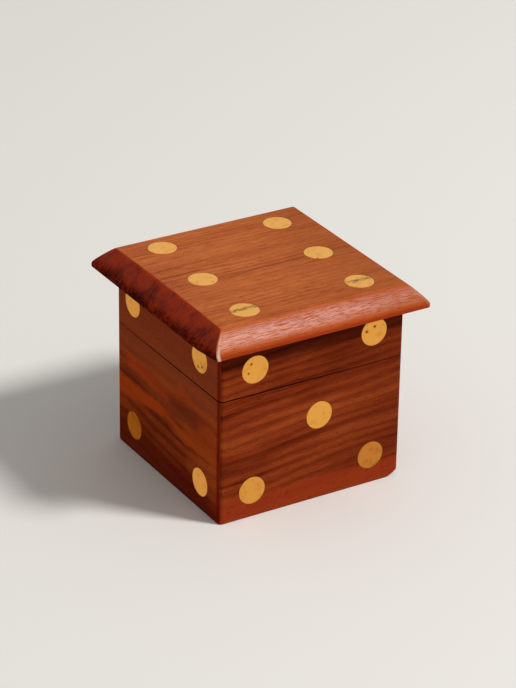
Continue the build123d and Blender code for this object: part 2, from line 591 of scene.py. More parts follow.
def open_material(name: str) -> tuple[bpy.types.Material, Graph, bpy.types.NodeInputs]:
    """Starts a material with one Principled shader.

    Args:
        name: The material's name.

    Returns:
        The material, its graph and the shader's inputs.
    """
    material = bpy.data.materials.new(name)
    material.use_nodes = True
    graph = Graph(material.node_tree)
    shader = graph.add("ShaderNodeBsdfPrincipled")
    graph.add("ShaderNodeOutputMaterial", {"Surface": Signal(graph, shader.outputs[0])})
    return material, graph, shader.inputs


class Effect:
    """A pattern that several finishes share, wired once as a node group.

    It takes a place, and inputs that are all plain values. Its outputs are plain values too.
    """

    name = ""
    inputs: tuple[str, ...] = ()
    outputs: tuple[str, ...] = ()

    def tree(self) -> bpy.types.NodeTree:
        """Gives the group's tree, and wires it the first time.

        Returns:
            The tree.
        """
        made = bpy.data.node_groups.get(self.name)
        if made:
            return made
        made = bpy.data.node_groups.new(self.name, "ShaderNodeTree")
        sockets = made.interface
        sockets.new_socket(name="Place", in_out="INPUT", socket_type="NodeSocketVector")
        for name in self.inputs:
            sockets.new_socket(name=name, in_out="INPUT", socket_type="NodeSocketFloat")
        for name in self.outputs:
            sockets.new_socket(name=name, in_out="OUTPUT", socket_type="NodeSocketFloat")
        graph = Graph(made)
        graph.add("NodeGroupOutput", self.wire(graph, graph.signals("NodeGroupInput")))
        return made

    def wire(self, graph: Graph, given: dict[str, Signal]) -> dict[str, Signal]:
        """Wires the group from its inputs and returns what goes to each output."""
        raise NotImplementedError


class SheeshamFigure(Effect):
    """The figure of sheesham in a log whose grain runs along X, with its heart on X.

    Streaks, clouds and fibres run from 0 to 1, and rings, lines and pores are 1 where they are
    dark. Sizes are in millimetres along the grain, across it and up.
    """

    name = "sheesham_figure"
    inputs = ("Ring Width", "Streak Length", "Wander")
    outputs = ("Streaks", "Rings", "Lines", "Clouds", "Fibres", "Pores")
    drift_size = (34, 12, 12)
    turn_share = 0.03
    streak_rings = 0.42
    streak_shift = 9.0
    ring_sharpness = 1.7
    line_run = 1.6
    line_rings = 2.4
    line_range = (0.47, 0.76)
    cloud_size = (22, 7, 7)
    fibre_size = (4.5, 0.2, 0.2)
    pore_size = (1.7, 0.24, 0.24)
    pore_range = (0.6, 0.76)

    def wire(self, graph: Graph, given: dict[str, Signal]) -> dict[str, Signal]:
        """Wires rings that wander, fine lines, clouds of colour, fibres and pores.

        Args:
            graph: The group's graph.
            given: The group's inputs by their names.

        Returns:
            What goes to each output.
        """
        place = given["Place"]
        along, across, up = place.split()
        drift = graph.noise(place, self.drift_size, detail=1.0, output="Color").split()
        bent_across = (drift[0] * 2.0 - 1.0) * given["Wander"] + across
        bent_up = (drift[1] * 2.0 - 1.0) * given["Wander"] + up
        reach = (bent_up * bent_up + bent_across * bent_across).math("SQRT")
        ring = reach / given["Ring Width"]
        run = along / given["Streak Length"]
        turn = bent_across * self.turn_share
        streaks = graph.noise(graph.vector(run, ring * self.streak_rings, turn))
        crest = (streaks * self.streak_shift + ring * math.tau).math("SINE") * 0.5 + 0.5
        fine = graph.vector(run * self.line_run, ring * self.line_rings, turn)
        return {
            "Streaks": streaks,
            "Rings": crest.math("POWER", self.ring_sharpness),
            "Lines": graph.noise(fine, roughness=0.6).ease(*self.line_range),
            "Clouds": graph.noise(place, self.cloud_size),
            "Fibres": graph.noise(place, self.fibre_size, detail=1.0),
            "Pores": graph.noise(place, self.pore_size, detail=1.0).ease(*self.pore_range),
        }


class BrassWear(Effect):
    """What years of handling leave on brass: tarnish in patches, fine scratches and a few pits."""

    name = "brass_wear"
    outputs = ("Tarnish", "Scratches", "Pits")
    patch_size = (2.4, 2.4, 2.4)
    patch_range = (0.48, 0.78)
    scratch_slant = (0.5, 0.7, 0.4)
    scratch_size = (4.0, 0.14, 0.14)
    pit_spacing = (1.7, 1.7, 1.7)
    pit_range = (0.17, 0.09)
    pit_choice = (0.93, 0.95)

    def wire(self, graph: Graph, given: dict[str, Signal]) -> dict[str, Signal]:
        """Wires the patches, the scratches and the pits.

        Args:
            graph: The group's graph.
            given: The group's inputs by their names.

        Returns:
            What goes to each output.
        """
        place = given["Place"]
        slanted = graph.result(
            "ShaderNodeMapping", {"Vector": place, "Rotation": self.scratch_slant}
        )
        spaced = {"Vector": place.stretched(self.pit_spacing), "Scale": 1.0}
        cell = graph.signals("ShaderNodeTexVoronoi", spaced)
        chosen = cell["Color"].split()[0].ease(*self.pit_choice)
        return {
            "Tarnish": graph.noise(place, self.patch_size, detail=3.0).ease(*self.patch_range),
            "Scratches": graph.noise(slanted, self.scratch_size),
            "Pits": cell["Distance"].ease(*self.pit_range) * chosen,
        }


# --- Finishes ----------------------------------------------------------------------------------
# Places and widths in this section are in millimetres, as the shaders read them. A Fade says
# where something starts and where it is whole, and Parts are an effect's outputs and weights.
def weigh(figure: dict[str, Signal], parts: Parts) -> Signal:
    """Adds up parts of a figure, each times its own weight."""
    first, *others = (figure[name] * weight for name, weight in parts)
    return sum(others, first)


@dataclass(frozen=True)
class Site:
    """A point of a board as its shader knows it: its place and its figure."""

    planes: Planes
    x: Signal
    y: Signal
    z: Signal
    figure: dict[str, Signal]

    def beyond_sides(self) -> tuple[Signal, Signal]:
        """Gives how far the point is beyond the body's left or right, and its front or back."""
        half_width, half_depth = self.planes.half_width / MM, self.planes.half_depth / MM
        return abs(self.x) - half_width, abs(self.y) - half_depth

    def beyond(self) -> Signal:
        """Gives how far the point stands beyond the body, whichever way is farther."""
        return self.x.graph.larger(*self.beyond_sides())

    def above_skirt(self) -> Signal:
        """Gives the height above the foot of the top board."""
        return self.z - self.planes.skirt_top / MM


@dataclass(frozen=True)
class Wash:
    """A colour laid over another, by how much of it covers."""

    colour: Colour
    share: float

    def over(self, under: Signal, mask: Signal) -> Signal:
        """Lays the wash over a colour, where the mask is 1."""
        return under.graph.mix(mask * self.share, under, self.colour)


@dataclass(frozen=True)
class Streak:
    """A streak of another colour, by its two ends on the board's face."""

    start: tuple[float, float]
    end: tuple[float, float]
    start_width: float
    end_width: float
    wash: Wash
    ragged: float = 3.0
    blur: float = 0.35
    taper: float = 0.12

    def lay(self, along: Signal, up: Signal, wave: Signal, colour: Signal) -> Signal:
        """Lays the streak over a colour.

        Args:
            along: The place along the grain.
            up: The place across it.
            wave: How far the streak strays from a straight line, 0 to 1.
            colour: The colour under it.

        Returns:
            The colour with the streak.
        """
        (start_along, start_up), (end_along, end_up) = self.start, self.end
        run = (along - start_along) / (end_along - start_along)
        straight = run * (end_up - start_up) + (start_up - self.ragged / 2)
        middle = wave * self.ragged + straight
        width = run * (self.end_width - self.start_width) + self.start_width
        inside = (abs(up - middle) / width).ease(1 + self.blur, 1 - self.blur)
        begins = run.ease(-self.taper, self.taper)
        ends = run.ease(1 + self.taper, 1 - self.taper)
        return self.wash.over(colour, inside * (begins * ends))


@dataclass(frozen=True)
class Sheesham:
    """One board of sheesham: how it was sawn from the log, how it is coloured and lacquered.

    The depths say how far each part of the figure lightens or darkens the wood. Dullness, gaps
    and relief say how much each part counts in the roughness, in the film's gaps and in height.
    """

    name: str
    dark: Colour = tint(78, 26, 14)
    middle: Colour = tint(124, 50, 24)
    light: Colour = tint(162, 76, 36)
    heart: Sizes = (0.0, 0.0, -90.0)
    turn: Sizes = (0.0, 0.0, 0.0)
    ring_width: float = 3.0
    streak_length: float = 70.0
    wander: float = 3.0
    streak_depth: float = 1.5
    ring_depth: float = 0.3
    line_depth: float = 0.3
    cloud_depth: float = 0.5
    fibre_depth: float = 0.5
    pore_depth: float = 0.6
    mean_ring: float = 0.35
    mean_line: float = 0.3
    roughness: float = 0.4
    bare_roughness: float = 0.2
    dullness: Parts = (("Pores", 0.25), ("Lines", 0.06))
    lacquer: float = 0.0585
    gaps: Parts = (("Pores", 0.5), ("Lines", 0.4))
    coat_roughness: float = 0.28
    film_edge: Fade = (-0.8, -0.5)
    peel: Sizes = (2.4, 0.3, 0.3)
    peel_range: Fade = (0.3, 0.62)
    relief: Parts = (("Pores", -0.6), ("Fibres", 0.4), ("Rings", 0.2))
    peel_relief: float = 0.5
    relief_rise: float = 0.03 * MM
    relief_strength: float = 0.8

    def material(self, planes: Planes) -> bpy.types.Material:
        """Wires the board's material.

        Args:
            planes: The box's planes, which say where the lacquered outside ends.

        Returns:
            The material.
        """
        material, graph, shader = open_material(self.name)
        place = graph.millimetres()
        turn = [math.radians(angle) for angle in self.turn]
        shift = [-value for value in self.heart]
        sawn = {"Vector": place, "Rotation": turn, "Location": shift}
        in_log = graph.result("ShaderNodeMapping", sawn)
        figure = graph.group(
            SheeshamFigure(),
            Place=in_log,
            Ring_Width=self.ring_width,
            Streak_Length=self.streak_length,
            Wander=self.wander,
        )
        site = Site(planes, *place.split(), figure)
        colour = self.stain(graph, site, self.grain(graph, figure))
        colour = Wash(self.dark, self.pore_depth).over(colour, figure["Pores"])
        graph.feed(shader["Base Color"], colour)
        film = self.film(site)
        rough = weigh(figure, self.dullness) - film * self.bare_roughness
        graph.feed(shader["Roughness"], rough + (self.roughness + self.bare_roughness))
        shader["Specular IOR Level"].default_value = 0.0
        peel = graph.noise(in_log, self.peel)
        filled = 1.0 - weigh(figure, self.gaps)
        coat = film * filled * peel.ease(*self.peel_range) * self.lacquer
        graph.feed(shader["Coat Weight"], coat)
        shader["Coat Roughness"].default_value = self.coat_roughness
        height = weigh(figure, self.relief) + peel * self.peel_relief
        normal = graph.bump(height, self.relief_rise, self.relief_strength)
        graph.feed(shader["Normal"], normal)
        return material

    def grain(self, graph: Graph, figure: dict[str, Signal]) -> Signal:
        """Colours the wood by its figure."""
        tone = (
            (figure["Streaks"] - 0.5) * self.streak_depth
            + (figure["Clouds"] - 0.5) * self.cloud_depth
            + (figure["Fibres"] - 0.5) * self.fibre_depth
            - (figure["Rings"] - self.mean_ring) * self.ring_depth
            - (figure["Lines"] - self.mean_line) * self.line_depth
        )
        return graph.ramp(tone + 0.5, (0.1, self.dark), (0.9, self.light), (0.5, self.middle))

    def stain(self, graph: Graph, site: Site, colour: Signal) -> Signal:
        """Changes the colour where the board is darker or redder than its figure says."""
        return colour

    def film(self, site: Site) -> Signal:
        """Gives 1 where the board is lacquered, and 0 where it is bare."""
        return site.beyond().ease(*self.film_edge)


@dataclass(frozen=True)
class SideSheesham(Sheesham):
    """An upright board, with the mitre's glue line and a dark line along the seam, at the saw cut.
    """

    glue: Wash = Wash(tint(118, 22, 6), 0.8)
    glue_reach: float = 1.0
    glue_shift: float = 0.9
    dirt: Colour = tint(34, 7, 4)
    dirt_below: Fade = (-0.22, -0.1)
    dirt_above: Fade = (0.42, 0.2)
    dirt_mouth: Fade = (-0.9, -0.4)
    dirt_thins: Fade = (64.0, 16.0)
    dirt_least: float = 0.5
    dirt_gain: float = 0.45

    def stain(self, graph: Graph, site: Site, colour: Signal) -> Signal:
        """Draws the glue line, and the dark line along the seam, thickest at the front left and
        back right corners.

        Args:
            graph: The material's graph.
            site: The point's place and figure.
            colour: The colour before.

        Returns:
            The colour after.
        """
        out_x, out_y = site.beyond_sides()
        line = abs(out_x - out_y - self.glue_shift).ease(self.glue_reach, 0.0)
        colour = self.glue.over(colour, line)
        thick = abs(site.x - site.y).ease(*self.dirt_thins) * self.dirt_gain + self.dirt_least
        return graph.mix(self.groove(site) * thick, colour, self.dirt)

    def groove(self, site: Site) -> Signal:
        """Gives 1 where the seam's dark line lies, at the mouth of the groove between base and
        lid.

        Args:
            site: The point's place and figure.

        Returns:
            The mask.
        """
        above = site.z - site.planes.seam / MM
        level = above.ease(*self.dirt_below) * above.ease(*self.dirt_above)
        return level * site.beyond().ease(*self.dirt_mouth)

    def film(self, site: Site) -> Signal:
        """Leaves the groove bare."""
        return super().film(site) * (1.0 - self.groove(site))


@dataclass(frozen=True)
class FrontSheesham(SideSheesham):
    """The front board: painted shade under the overhang, with a plain, redder band at its foot."""

    band: Wash = Wash(tint(158, 58, 26), 0.75)
    band_rise: Fade = (7.9, 6.5)
    band_wave: float = 3.0
    dull: Wash = Wash(tint(84, 26, 12), 0.3)
    dull_run: Fade = (-14.0, 30.0)
    smoky: Wash = Wash(tint(58, 16, 6), 0.4)
    smoky_rise: Fade = (-7.8, -6.2)

    def stain(self, graph: Graph, site: Site, colour: Signal) -> Signal:
        """Lays the band, and painted shade under the overhang, under what every side has.

        Args:
            graph: The material's graph.
            site: The point's place and figure.
            colour: The colour before.

        Returns:
            The colour after.
        """
        colour = self.dull.over(colour, site.x.ease(*self.dull_run))
        # Painted shade: darkens the wood just under the overhang, where its shadow falls.
        colour = self.smoky.over(colour, site.above_skirt().ease(*self.smoky_rise))
        height = site.z + (site.figure["Clouds"] - 0.5) * self.band_wave
        colour = self.band.over(colour, height.ease(*self.band_rise))
        return super().stain(graph, site, colour)


@dataclass(frozen=True)
class LeftSheesham(SideSheesham):
    """The left board: plain above, greyed by a painted sheen, flamed in the middle, and deep red
    towards its foot, darkened there partly by painted shade.
    """

    plain: Wash = Wash(tint(164, 80, 46), 0.8)
    plain_rise: Fade = (29.0, 37.0)
    streaks: tuple[Streak, ...] = (
        Streak((34.0, 20.5), (-1.0, 23.0), 3.6, 1.4, Wash(tint(210, 84, 26), 0.72)),
        Streak((25.0, 31.5), (-3.0, 28.5), 2.0, 1.2, Wash(tint(206, 82, 30), 0.6)),
        Streak((-7.0, 35.5), (-14.0, 34.5), 1.6, 1.2, Wash(tint(206, 82, 30), 0.5)),
        Streak((30.0, 27.5), (-2.0, 26.0), 1.4, 1.6, Wash(tint(138, 64, 34), 0.6)),
        Streak((-1.0, 27.0), (-19.0, 28.5), 3.0, 3.4, Wash(tint(136, 60, 34), 0.75)),
        Streak((-4.0, 20.0), (-32.0, 21.5), 1.6, 3.4, Wash(tint(202, 92, 34), 0.6)),
        Streak((-12.0, 12.0), (-32.0, 12.5), 2.0, 7.0, Wash(tint(188, 88, 44), 0.5)),
    )
    streak_rags: Sizes = (1, 9, 2.6)
    deep: Wash = Wash(tint(106, 24, 3), 0.86)
    foot_front: float = 6.0
    foot_back: float = 14.5
    foot_soft: float = 5.0
    foot_wave: float = 8.0
    red: Wash = Wash(tint(128, 24, 10), 0.5)
    red_run: Fade = (2.6, 1.2)

    def stain(self, graph: Graph, site: Site, colour: Signal) -> Signal:
        """Lays the plain head with its painted sheen, the flames, the deep foot with its painted
        shade, and the red front edge.

        Args:
            graph: The material's graph.
            site: The point's place and figure.
            colour: The colour before.

        Returns:
            The colour after.
        """
        # The plain head: plain wood, its greyer tone partly a painted sheen.
        colour = self.plain.over(colour, site.z.ease(*self.plain_rise))
        face = graph.vector(0, site.y, site.z)
        ragged = graph.noise(face, self.streak_rags, detail=3.0)
        for streak in self.streaks:
            colour = streak.lay(site.y, site.z, ragged, colour)
        half = site.planes.half_depth / MM
        slope = (self.foot_back - self.foot_front) / (2 * half)
        edge = site.y * slope + (self.foot_back + self.foot_front) / 2
        above = site.z - edge + (site.figure["Clouds"] - 0.5) * self.foot_wave
        # Deep red towards the foot: partly the wood's own tone, partly painted shade near the
        # floor.
        colour = self.deep.over(colour, above.ease(self.foot_soft, -self.foot_soft))
        colour = self.red.over(colour, (site.y + half).ease(*self.red_run))
        return super().stain(graph, site, colour)


@dataclass(frozen=True)
class TopSheesham(Sheesham):
    """The top board, whose left and right bevels cut through its grain."""

    ink: Streak = Streak(
        (-22.0, -2.9), (40.0, -1.0), 0.1, 0.7, Wash(tint(104, 44, 22), 0.6), blur=0.8
    )
    dull: Wash = Wash(tint(148, 78, 40), 0.5)
    dull_run: Fade = (-6.0, 34.0)
    bevel: Wash = Wash(tint(178, 76, 34), 0.45)
    bevel_edge: Fade = (-0.3, 0.3)
    nose: Wash = Wash(tint(166, 54, 18), 0.7)
    nose_edge: Fade = (-1.5, 1.0)
    nose_rise: Fade = (2.6, 0.8)
    end_from: float = 32.0
    end_bow: float = 0.6
    end_edge: Fade = (-0.2, 0.15)
    end: Colour = tint(160, 46, 10)
    end_dark: Colour = tint(88, 16, 5)
    end_right: Wash = Wash(tint(168, 70, 30), 0.8)
    end_rise: Fade = (6.0, 0.5)
    end_range: Fade = (0.62, 1.12)
    end_depth: float = 0.2
    vessel_size: Sizes = (3.0, 0.5, 3.0)
    vessel_depth: float = 0.6
    cloud_size: Sizes = (5, 6, 4)
    end_cloud_depth: float = 0.9
    torn: Wash = Wash(tint(38, 9, 8), 0.75)
    torn_size: Sizes = (1.4, 1.8, 0.8)
    torn_range: Fade = (0.66, 0.78)
    torn_depth: float = 0.22
    torn_back: Fade = (22.0, 34.0)
    torn_back_depth: float = 0.12
    ridge_edge: Fade = (-0.12, 0.12)
    ridge_middle: float = 0.5
    ridge_wide: Fade = (0.9, 0.35)
    ridge_run: Fade = (0.0, 2.0)
    rubbed: Colour = tint(240, 200, 182)
    rub: float = 0.07
    knock_rub: float = 0.88
    coat_rise: Fade = (0.02, 0.2)
    film_rise: Fade = (1.5, 4.8)
    film_least: float = 0.16
    film_run: Fade = (42.0, -20.0)
    film_right: float = 0.3

    def stain(self, graph: Graph, site: Site, colour: Signal) -> Signal:
        """Draws one dark streak, the redder nose, the end grain, and a light line on the ridges
        that is partly wear and partly a painted highlight, strongest as a painted glint low on the
        knocked front left ridge.

        Args:
            graph: The material's graph.
            site: The point's place and figure.
            colour: The colour before.

        Returns:
            The colour after.
        """
        reach_x, reach_y = abs(site.x), abs(site.y)
        left, front = (value.ease(1.0, -1.0) for value in (site.x, site.y))
        rise = site.above_skirt()
        depth = rise.ease(KNOCK_HEIGHT / MM, 0.0)
        colour = self.ink.lay(site.x, site.y, site.figure["Clouds"], colour)
        colour = self.dull.over(colour, site.x.ease(*self.dull_run))
        colour = self.bevel.over(colour, (reach_y - self.end_from).ease(*self.bevel_edge))
        edge = (graph.larger(reach_x, reach_y) - self.end_from).ease(*self.nose_edge)
        colour = self.nose.over(colour, rise.ease(*self.nose_rise) * edge)
        past = reach_x - reach_y + left * depth * (KNOCK / MM)
        along = site.y / self.end_from
        out = reach_x - self.end_from
        beyond = out + (1.0 - along * along) * self.end_bow
        share = beyond.ease(*self.end_edge) * past.ease(*self.ridge_edge)
        colour = graph.mix(share, colour, self.end_grain(graph, site, left))
        # Painted highlight: the ridges' light line is partly edge wear, partly a painted glint,
        # which is strongest low on the knocked front left ridge.
        ridge = abs(past + self.ridge_middle).ease(*self.ridge_wide) * out.ease(*self.ridge_run)
        rubbed = ridge * (left * front * depth * self.knock_rub + self.rub)
        return graph.mix(rubbed, colour, self.rubbed)

    def end_grain(self, graph: Graph, site: Site, left: Signal) -> Signal:
        """Colours the bevels that cut through the grain.

        Args:
            graph: The material's graph.
            site: The point's place and figure.
            left: 1 on the left half of the board.

        Returns:
            The colour.
        """
        place = graph.vector(site.x, site.y, site.z)
        depth = site.above_skirt().ease(*self.end_rise)
        vessels = graph.noise(place, self.vessel_size, roughness=0.6) * self.vessel_depth
        clouds = graph.noise(place, self.cloud_size) * self.end_cloud_depth
        dark = vessels + clouds + depth * self.end_depth
        colour = graph.mix(dark.ease(*self.end_range), self.end, self.end_dark)
        patch = graph.noise(place, self.torn_size, detail=5.0, roughness=0.7)
        back = site.y.ease(*self.torn_back) * self.torn_back_depth
        torn = (patch + depth * self.torn_depth - back).ease(*self.torn_range)
        return self.end_right.over(self.torn.over(colour, torn), 1.0 - left)

    def film(self, site: Site) -> Signal:
        """Gives most on the upper half of the bevels, less towards the nose and the right.

        Args:
            site: The point's place and figure.

        Returns:
            The mask.
        """
        rise = site.above_skirt()
        fades = site.x.ease(*self.film_run) * (1 - self.film_right) + self.film_right
        upper = rise.ease(*self.film_rise) * fades
        return rise.ease(*self.coat_rise) * (upper * (1 - self.film_least) + self.film_least)


@dataclass(frozen=True)
class Pit:
    """A hole left by the casting, by its place on the box and its radius."""

    place: Sizes
    radius: float

    def mask(self, graph: Graph, place: Signal) -> Signal:
        """Gives 1 in the hole.

        Args:
            graph: The material's graph.
            place: The place on the box.

        Returns:
            The mask.
        """
        ends = {0: place, 1: self.place}
        off = graph.result("ShaderNodeVectorMath", ends, "Value", operation="DISTANCE")
        return (off / self.radius).ease(1.4, 0.3)


@dataclass(frozen=True)
class Brass:
    """Brass that was filed or turned, waxed over and a little tarnished."""

    name: str
    colour: Colour = tint(252, 182, 84)
    tarnish: Colour = tint(176, 100, 30)
    roughness: float = 0.32
    marred: Parts = (("Scratches", 0.16), ("Tarnish", 0.08))
    dullness: float = 0.12
    patchiness: float = 0.25
    edge_tint: Colour = tint(255, 240, 215)
    pit: Colour = tint(112, 58, 14)
    pit_share: float = 0.8
    pit_roughness: float = 0.3
    pit_dirt: float = 0.5
    pits: tuple[Pit, ...] = ()
    stain_row: float | None = None
    stain_size: Sizes = (1.6, 0.45, 2.0)
    stain_wide: Fade = (1.5, 0.3)
    stain_range: Fade = (0.42, 0.53)
    scratch_relief: float = 0.4
    relief_rise: float = 0.02 * MM
    relief_strength: float = 0.6

    def material(self) -> bpy.types.Material:
        """Wires the metal's material.

        Returns:
            The material.
        """
        material, graph, shader = open_material(self.name)
        place = graph.millimetres()
        wear = graph.group(BrassWear(), Place=place)
        dull = wear["Tarnish"] * self.patchiness + self.dullness
        colour = graph.mix(dull, self.colour, self.tarnish)
        marks = graph.larger(wear["Pits"], self.marks(graph, place))
        graph.feed(shader["Base Color"], Wash(self.pit, self.pit_share).over(colour, marks))
        graph.feed(shader["Metallic"], 1.0 - marks * self.pit_dirt)
        shader["Specular Tint"].default_value = self.edge_tint
        rough = weigh(wear, self.marred) + marks * self.pit_roughness + self.roughness
        graph.feed(shader["Roughness"], rough)
        height = wear["Scratches"] * self.scratch_relief - marks
        graph.feed(shader["Normal"], graph.bump(height, self.relief_rise, self.relief_strength))
        return material

    def marks(self, graph: Graph, place: Signal) -> Feed:
        """Gives 1 in the larger pits, and on the stain that crosses a row of spots.

        Args:
            graph: The material's graph.
            place: The place on the box.

        Returns:
            The mask, or 0 where there are none.
        """
        marks: Feed = 0.0
        for pit in self.pits:
            marks = graph.larger(marks, pit.mask(graph, place))
        if self.stain_row is not None:
            grain = graph.noise(place, self.stain_size, detail=3.0, roughness=0.7)
            near = abs(place.split()[1] - self.stain_row).ease(*self.stain_wide)
            marks = graph.larger(marks, near * grain.ease(*self.stain_range))
        return marks


@dataclass(frozen=True)
class Glue:
    """The brown glue that squeezes up round a spot."""

    name: str = "spot_glue"
    dark: Colour = tint(92, 42, 12)
    light: Colour = tint(150, 88, 36)
    mottle: Sizes = (0.8, 0.8, 0.8)
    roughness: float = 0.45

    def material(self) -> bpy.types.Material:
        """Wires the glue's material.

        Returns:
            The material.
        """
        material, graph, shader = open_material(self.name)
        mottle = graph.noise(graph.millimetres(), self.mottle)
        graph.feed(shader["Base Color"], graph.ramp(mottle, (0.3, self.dark), (0.7, self.light)))
        shader["Roughness"].default_value = self.roughness
        return material


# --- Boards ------------------------------------------------------------------------------------
@dataclass(frozen=True)
class Pocket:
    """A spot's place: its name, its shell, the way it looks, and its size."""

    name: str
    shell: Shell
    centre: Vector
    outward: Vector
    radius: float
    depth: float
    glue: float = 0.08 * MM

    @classmethod
    def all(cls) -> list["Pocket"]:
        """Reads every spot's place from the frame.

        Returns:
            The places.
        """
        outward = {side.label: side.outward for side in Side}
        outward |= {"top": UP, "bottom": -UP}
        pockets = []
        for shell in Shell:
            members = frame["record"]["behaviour"]["bodies"][shell.value]
            for node in sorted(name for name in members if name.startswith("spot_")):
                low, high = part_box(node)
                look = outward[node.split("_")[1]]
                depth = abs(look.dot(high - low))
                centre = (low + high) / 2 + look * depth / 2
                pockets.append(cls(node, shell, centre, look, max(high - low) / 2, depth))
        return pockets

    def cutter(self) -> Workpiece:
        """Makes the drill that clears the pocket, a little proud of the face.

        Returns:
            The drill.
        """
        proud = 1.0 * MM
        length = self.depth + proud
        middle = self.centre + self.outward * (proud - self.depth) / 2
        return Workpiece.rod("drill", middle, self.outward, self.radius + self.glue, length)


@dataclass(frozen=True)
class WornFoot:
    """A corner of the base that knocks have rounded, by its side, its rounding and its spread."""

    right: int
    back: int
    radius: float
    spread: Sizes = (1.0, 1.0, 1.0)
    ball_rings: int = 64

    def chip(self, planes: Planes) -> Workpiece:
        """Makes the chip that is gone from the corner, a little proud of it.

        The rounding meets the corner's three edges without a step, so its middle lies a
        radius over the root of two in from each face.

        Args:
            planes: The box's planes.

        Returns:
            The chip.
        """
        corner = Vector((self.right * planes.half_width, self.back * planes.half_depth, 0))
        outward = Vector((self.right, self.back, -1))
        reach = self.radius / math.sqrt(2)
        near = corner + outward * MM
        short_of_middle = 0.99
        far = corner - outward * reach * short_of_middle
        low = Vector(min(pair) for pair in zip(near, far))
        high = Vector(max(pair) for pair in zip(near, far))
        chip = Workpiece.block("chip", low, high)
        kept = Workpiece.shaped(
            "kept",
            bpy.ops.mesh.primitive_uv_sphere_add,
            segments=ROUND,
            ring_count=self.ball_rings,
            radius=self.radius,
            location=corner - outward * reach,
        )
        chip.bore([kept])
        chip.select(Element.VERTS, lambda v: True)
        bpy.ops.transform.resize(value=self.spread, center_override=corner)
        clear_bench()
        return chip


@dataclass(frozen=True)
class Carcass:
    """One shell's four upright boards, mitred and eased as one and then parted."""

    planes: Planes
    shell: Shell
    corner: float = 1.5 * MM
    back_left_corner: float = 2.9 * MM
    foot: float = 0.4 * MM
    rim: float = 0.25 * MM
    mitre_gap: float = 0.01 * MM
    corner_steps: int = 8
    foot_steps: int = 4
    rim_steps: int = 3
    crease: float = 35.0
    worn_feet: tuple[WornFoot, ...] = (
        WornFoot(1, -1, 5.6 * MM, (1.7, 1.35, 1.0)),
        WornFoot(-1, 1, 6.2 * MM),
    )

    def heights(self) -> tuple[float, float]:
        """Gives the boards' lower and upper ends.

        Returns:
            The lower end and the upper one.
        """
        if self.shell is Shell.BASE:
            return 0.0, self.planes.seam
        return self.planes.seam, self.planes.skirt_top

    def blank(self) -> Workpiece:
        """Makes the solid block that the boards are sawn from, with its outer edges eased.

        Returns:
            The block.
        """
        planes = self.planes
        bottom, top = self.heights()
        block = Workpiece.block(
            "blank",
            Vector((-planes.half_width, -planes.half_depth, bottom)),
            Vector((planes.half_width, planes.half_depth, top)),
        )
        for worn, radius in ((False, self.corner), (True, self.back_left_corner)):
            block.round_edges(
                lambda e: is_upright(e)
                and min(abs(e.verts[0].co.x), abs(e.verts[0].co.y)) > planes.half_width - NEAR
                and (e.verts[0].co.x < 0 < e.verts[0].co.y) is worn,
                radius,
                self.corner_steps,
            )
        base = self.shell is Shell.BASE
        rim = top if base else bottom
        block.round_edges(lies_at(UP, rim), self.rim, self.rim_steps)
        if base:
            block.round_edges(lies_at(UP, bottom), self.foot, self.foot_steps)
            block.bore(foot.chip(planes) for foot in self.worn_feet)
        return block

    def board(self, blank: Workpiece, side: Side) -> Workpiece:
        """Saws one board out of a copy of the blank.

        Args:
            blank: The eased block.
            side: The side that the board stands on.

        Returns:
            The mitred board.
        """
        planes = self.planes
        board = blank.copy(f"{self.shell.value}_{side.label}_board_wood")
        out = side.outward
        along = Vector((-out.y, out.x, 0))
        half = Vector((planes.half_width, planes.half_depth, 0))
        for hand in (-1, 1):
            corner = Vector((c * h for c, h in zip(out + along * hand, half)))
            waste = (along * hand - out).normalized()
            board.saw(corner - waste * self.mitre_gap, waste)
        inner = Vector((c * (h - planes.board) for c, h in zip(out, half)))
        board.saw(inner, -out)
        return board

    def build(self, finishes: dict[Side, bpy.types.Material], pockets: list[Pocket]) -> None:
        """Makes, bores and dresses the four boards.

        Args:
            finishes: Each side's wood.
            pockets: Every spot's place.
        """
        blank = self.blank()
        for side in Side:
            board = self.board(blank, side)
            node = f"{self.shell.value}_{side.label}_board"
            mine = (p for p in pockets if p.shell is self.shell)
            board.bore(p.cutter() for p in mine if p.name.startswith(f"spot_{side.label}_"))
            board.smooth(self.crease)
            board.fit(finishes[side], self.shell, "side_board_wood", node)
        blank.discard()


